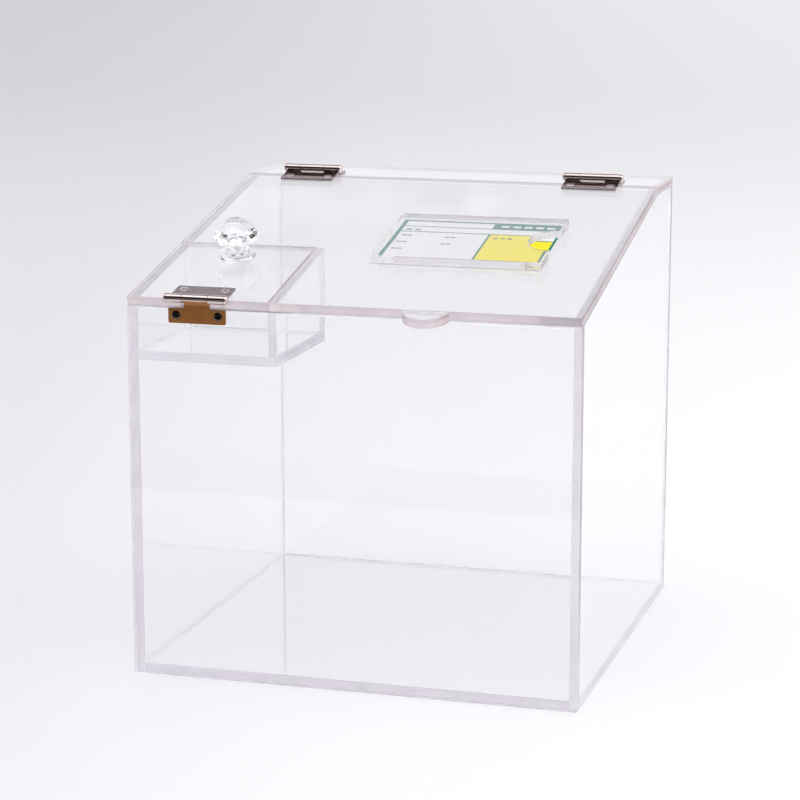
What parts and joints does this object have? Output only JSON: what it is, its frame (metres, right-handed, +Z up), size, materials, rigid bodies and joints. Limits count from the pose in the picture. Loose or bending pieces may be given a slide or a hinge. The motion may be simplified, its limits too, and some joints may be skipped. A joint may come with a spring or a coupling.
{
  "type": "donation box",
  "caption": "Clear acrylic counter box with a slanted hinged lid, a label pocket on it, and a corner tray under its own hinged lid with a knob.",
  "frame": {"origin": "centre of the box's footprint, on the table", "axes": "+X to the right seen from the front, +Y to the back, +Z up; the finger tab is at the front, -Y"},
  "size_m": [0.3, 0.3144, 0.3131],
  "materials": {
    "acrylic": "polished clear acrylic sheet",
    "knob_acrylic": "cut and polished clear acrylic",
    "card": "white label card, matt, printed in green and yellow",
    "hinge_metal": "bright nickel plate",
    "pin_metal": "bright nickel plate, domed ends",
    "screw_metal": "bright nickel plate, cross recess"
  },
  "bodies": {
    "box": {"base_panel": "acrylic", "front_panel": "acrylic", "back_panel": "acrylic", "left_side_panel": "acrylic", "right_side_panel": "acrylic", "top_rear_panel": "acrylic", "tray_floor": "acrylic", "tray_side_wall": "acrylic", "tray_back_wall": "acrylic", "rear_left_hinge_fixed_leaf": "hinge_metal", "rear_left_hinge_pin": "pin_metal", "rear_right_hinge_fixed_leaf": "hinge_metal", "rear_right_hinge_pin": "pin_metal", "front_hinge_fixed_leaf": "hinge_metal", "front_hinge_pin": "pin_metal", "fixed_leaf_screws": "screw_metal"},
    "main_lid": {"main_lid": "acrylic", "finger_tab": "acrylic", "label_cover": "acrylic", "label_rail_front": "acrylic", "label_rail_back": "acrylic", "label_rail_left": "acrylic", "rear_left_hinge_lid_leaf": "hinge_metal", "rear_right_hinge_lid_leaf": "hinge_metal", "main_lid_screws": "screw_metal"},
    "small_lid": {"small_lid": "acrylic", "knob": "knob_acrylic", "front_hinge_lid_leaf": "hinge_metal", "small_lid_screws": "screw_metal"},
    "label_card": {"label_card": "card"}
  },
  "joints": [
    {"name": "main_lid_hinge", "type": "hinge", "parent": "box", "child": "main_lid", "pos_m": [0, 0.094, 0.31011], "axis": [-1, 0, 0], "range_deg": [0, 195]},
    {"name": "small_lid_hinge", "type": "hinge", "parent": "box", "child": "small_lid", "pos_m": [-0.1014, -0.15315, 0.25394], "axis": [1, 0, 0], "range_deg": [0, 235]},
    {"name": "label_card_slide", "type": "slide", "parent": "main_lid", "child": "label_card", "axis": [1, 0, 0], "range_m": [0, 0.115]}
  ]
}
